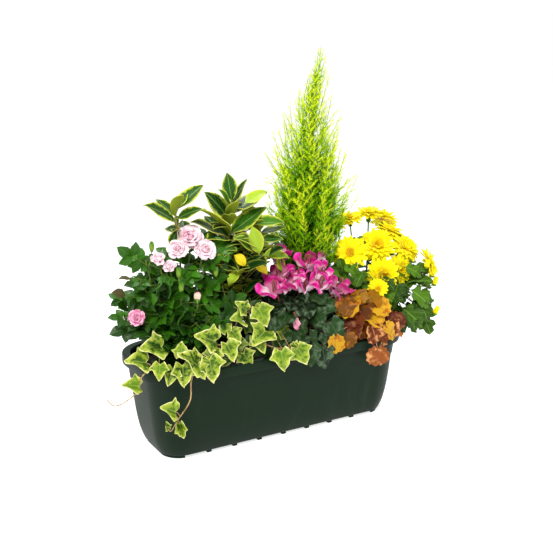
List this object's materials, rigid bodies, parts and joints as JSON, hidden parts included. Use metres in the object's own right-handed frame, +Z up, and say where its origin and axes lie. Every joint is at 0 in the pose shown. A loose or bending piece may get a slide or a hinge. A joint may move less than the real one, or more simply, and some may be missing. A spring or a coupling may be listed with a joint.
{
  "type": "planted window box",
  "caption": "Long plastic window box planted with a cypress, roses, a variegated shrub, cyclamen, chrysanthemums, heuchera and trailing ivy.",
  "frame": {"origin": "middle of the trough's footprint, on the surface that it stands on", "axes": "+X along the trough towards the chrysanthemum, -Y out of the front, +Z up"},
  "size_m": [0.6884, 0.239, 0.6571],
  "materials": {
    "trough": "moulded, dark bottle green with a faint sheen",
    "soil": "loose dark compost",
    "rose_leaf": "glossy dark green leaves with a cut edge, on thin stems",
    "rose_petal": "pale pink petals, cream at the heart",
    "rose_petal_deep": "deeper pink petals",
    "mum_leaf": "soft lobed green leaves and green stems",
    "mum_petal": "vivid yellow strap petals, golden at the eye",
    "shrub_leaf": "leathery leaves, dark green with a yellow margin",
    "cypress": "fine lime-yellow needles on thin sprays",
    "ivy_leaf": "lobed leaves, mid green with a cream margin",
    "cyclamen_leaf": "heart-shaped dark leaves marbled with silver",
    "cyclamen_petal": "magenta petals, pale at the mouth",
    "heuchera_amber": "round lobed ochre leaves",
    "heuchera_red": "round lobed rust-red leaves"
  },
  "bodies": {
    "root": {"trough": "trough", "soil": "soil", "rose_bush": "rose_leaf", "chrysanthemum_bush": "mum_leaf", "variegated_shrub": "shrub_leaf", "cypress": "cypress", "ivy_left": "ivy_leaf", "ivy_middle": "ivy_leaf", "cyclamen_leaves": "cyclamen_leaf", "heuchera_amber": "heuchera_amber", "heuchera_red": "heuchera_red", "rose_bloom_1": "rose_petal", "rose_bloom_2": "rose_petal", "rose_bloom_3": "rose_petal", "rose_bloom_4": "rose_petal", "rose_bloom_5": "rose_petal", "rose_bud": "rose_petal", "rose_bloom_deep": "rose_petal_deep", "chrysanthemum_1": "mum_petal", "chrysanthemum_2": "mum_petal", "chrysanthemum_3": "mum_petal", "chrysanthemum_4": "mum_petal", "chrysanthemum_5": "mum_petal", "chrysanthemum_6": "mum_petal", "chrysanthemum_7": "mum_petal", "chrysanthemum_8": "mum_petal", "chrysanthemum_9": "mum_petal", "chrysanthemum_10": "mum_petal", "chrysanthemum_11": "mum_petal", "chrysanthemum_12": "mum_petal", "cyclamen_flower_1": "cyclamen_petal", "cyclamen_flower_2": "cyclamen_petal", "cyclamen_flower_3": "cyclamen_petal", "cyclamen_flower_4": "cyclamen_petal", "cyclamen_flower_5": "cyclamen_petal", "cyclamen_flower_6": "cyclamen_petal", "cyclamen_flower_7": "cyclamen_petal", "cyclamen_flower_8": "cyclamen_petal"}
  },
  "joints": []
}
